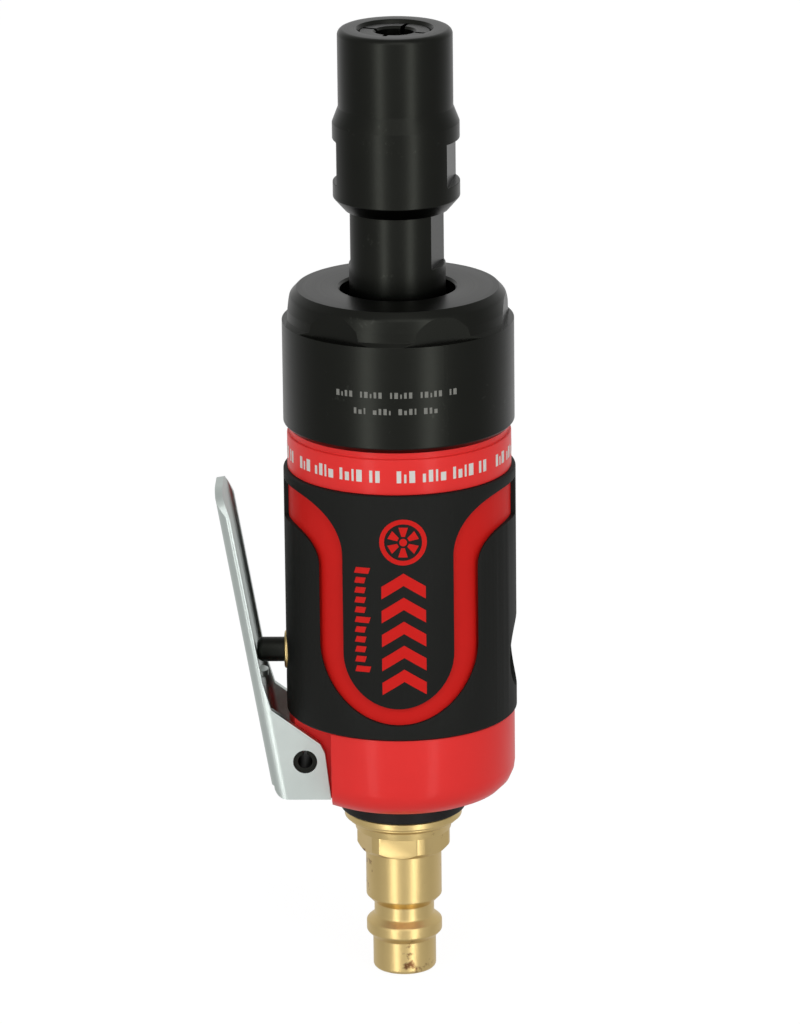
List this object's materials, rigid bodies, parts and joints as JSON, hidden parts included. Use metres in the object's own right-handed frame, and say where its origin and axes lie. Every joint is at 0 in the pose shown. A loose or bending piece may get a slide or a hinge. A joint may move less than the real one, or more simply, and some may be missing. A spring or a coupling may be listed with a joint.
{
  "type": "die grinder",
  "caption": "Straight pneumatic die grinder: side lever opens a throttle valve, a vane motor spins a collet spindle, and an air plug feeds it from behind.",
  "frame": {"origin": "on the tool axis, where the air plug's nose chamfer meets its straight tip", "axes": "+Z along the tool axis from the air plug to the collet, -X towards the throttle lever"},
  "size_m": [0.0469, 0.0362, 0.1532],
  "materials": {
    "plug_brass": "turned",
    "nylon": "matte",
    "black_steel": "black oxide, satin",
    "nitrile": "matte",
    "red_paint": "gloss paint",
    "felt": "felt",
    "grip_rubber": "matte moulded rubber",
    "red_grip": "satin",
    "ground_steel": "ground",
    "cast_liner": "honed",
    "spring_steel": "drawn wire",
    "zinc_steel": "zinc plated, satin",
    "bearing_steel": "polished",
    "cage_plastic": "moulded",
    "vane_resin": "phenolic laminate"
  },
  "bodies": {
    "housing": {"motor_housing": "red_paint", "grip_sleeve": "grip_rubber", "grip_band": "red_grip", "front_cap": "black_steel", "rear_end_plate": "ground_steel", "cylinder_liner": "cast_liner", "liner_pin": "ground_steel", "front_end_plate": "ground_steel", "front_spacer": "ground_steel", "front_seal": "felt", "rear_bearing_outer_race": "bearing_steel", "front_bearing_outer_race": "bearing_steel", "lever_pin": "black_steel", "valve_bushing": "plug_brass", "valve_bushing_oring": "nitrile", "stem_oring": "nitrile", "valve_spring": "spring_steel", "inlet_bushing": "black_steel", "inlet_oring": "nitrile", "air_plug": "plug_brass", "plug_washer": "nylon", "exhaust_silencer": "felt", "regulator_ring": "spring_steel"},
    "spindle": {"rotor": "ground_steel", "front_shaft_spacer": "ground_steel", "collet_holder": "black_steel", "front_bearing_inner_race": "bearing_steel", "rear_bearing_inner_race": "bearing_steel"},
    "front_balls": {"front_bearing_balls": "bearing_steel", "front_bearing_cage": "cage_plastic"},
    "rear_balls": {"rear_bearing_balls": "bearing_steel", "rear_bearing_cage": "cage_plastic"},
    "collet": {"collet": "black_steel"},
    "collet_nut": {"collet_nut": "black_steel"},
    "lever": {"throttle_lever": "zinc_steel"},
    "valve": {"valve_stem": "black_steel", "valve_seal": "nitrile", "valve_head": "plug_brass"},
    "regulator": {"regulator": "black_steel", "regulator_oring": "nitrile"},
    "vane_1": {"vane_1": "vane_resin"},
    "vane_2": {"vane_2": "vane_resin"},
    "vane_3": {"vane_3": "vane_resin"},
    "vane_4": {"vane_4": "vane_resin"}
  },
  "joints": [
    {"name": "spindle_spin", "type": "hinge", "parent": "housing", "child": "spindle", "pos_m": [0, 0, 0.0789], "axis": [0, 0, 1], "continuous": true},
    {"name": "front_balls_orbit", "type": "hinge", "parent": "housing", "child": "front_balls", "pos_m": [0, 0, 0.0964], "axis": [0, 0, 1], "continuous": true},
    {"name": "rear_balls_orbit", "type": "hinge", "parent": "housing", "child": "rear_balls", "pos_m": [0, 0, 0.0614], "axis": [0, 0, 1], "continuous": true},
    {"name": "collet_slide", "type": "slide", "parent": "spindle", "child": "collet", "axis": [0, 0, 1], "range_m": [0, 0.002]},
    {"name": "collet_nut_turn", "type": "hinge", "parent": "collet", "child": "collet_nut", "pos_m": [0, 0, 0.138], "axis": [0, 0, 1], "range_deg": [0, 720]},
    {"name": "lever_press", "type": "hinge", "parent": "housing", "child": "lever", "pos_m": [-0.01515, 0, 0.03625], "axis": [0, 1, 0], "range_deg": [0, 8.4], "stiffness_Nm_per_rad": 0.6, "springref_deg": -20.05},
    {"name": "valve_press", "type": "slide", "parent": "housing", "child": "valve", "axis": [1, 0, 0], "range_m": [0, 0.00251], "deforming": ["valve_spring"]},
    {"name": "regulator_turn", "type": "hinge", "parent": "housing", "child": "regulator", "pos_m": [0.011, 0, 0.0525], "axis": [1, 0, 0], "range_deg": [-90, 90]},
    {"name": "vane_1_slide", "type": "slide", "parent": "spindle", "child": "vane_1", "axis": [0.7071, 0.7071, 0], "range_m": [0, 0.0003]},
    {"name": "vane_2_slide", "type": "slide", "parent": "spindle", "child": "vane_2", "axis": [-0.7071, 0.7071, 0], "range_m": [0, 0.0003]},
    {"name": "vane_3_slide", "type": "slide", "parent": "spindle", "child": "vane_3", "axis": [-0.7071, -0.7071, 0], "range_m": [0, 0.0003]},
    {"name": "vane_4_slide", "type": "slide", "parent": "spindle", "child": "vane_4", "axis": [0.7071, -0.7071, 0], "range_m": [0, 0.0003]}
  ],
  "couplings": [
    {"joint": "front_balls_orbit", "follows": "spindle_spin", "ratio": 0.40625},
    {"joint": "rear_balls_orbit", "follows": "spindle_spin", "ratio": 0.39565},
    {"joint": "collet_nut_turn", "follows": "collet_slide", "rad_per_m": 6283},
    {"joint": "valve_press", "follows": "lever_press", "m_per_rad": 0.0171}
  ]
}
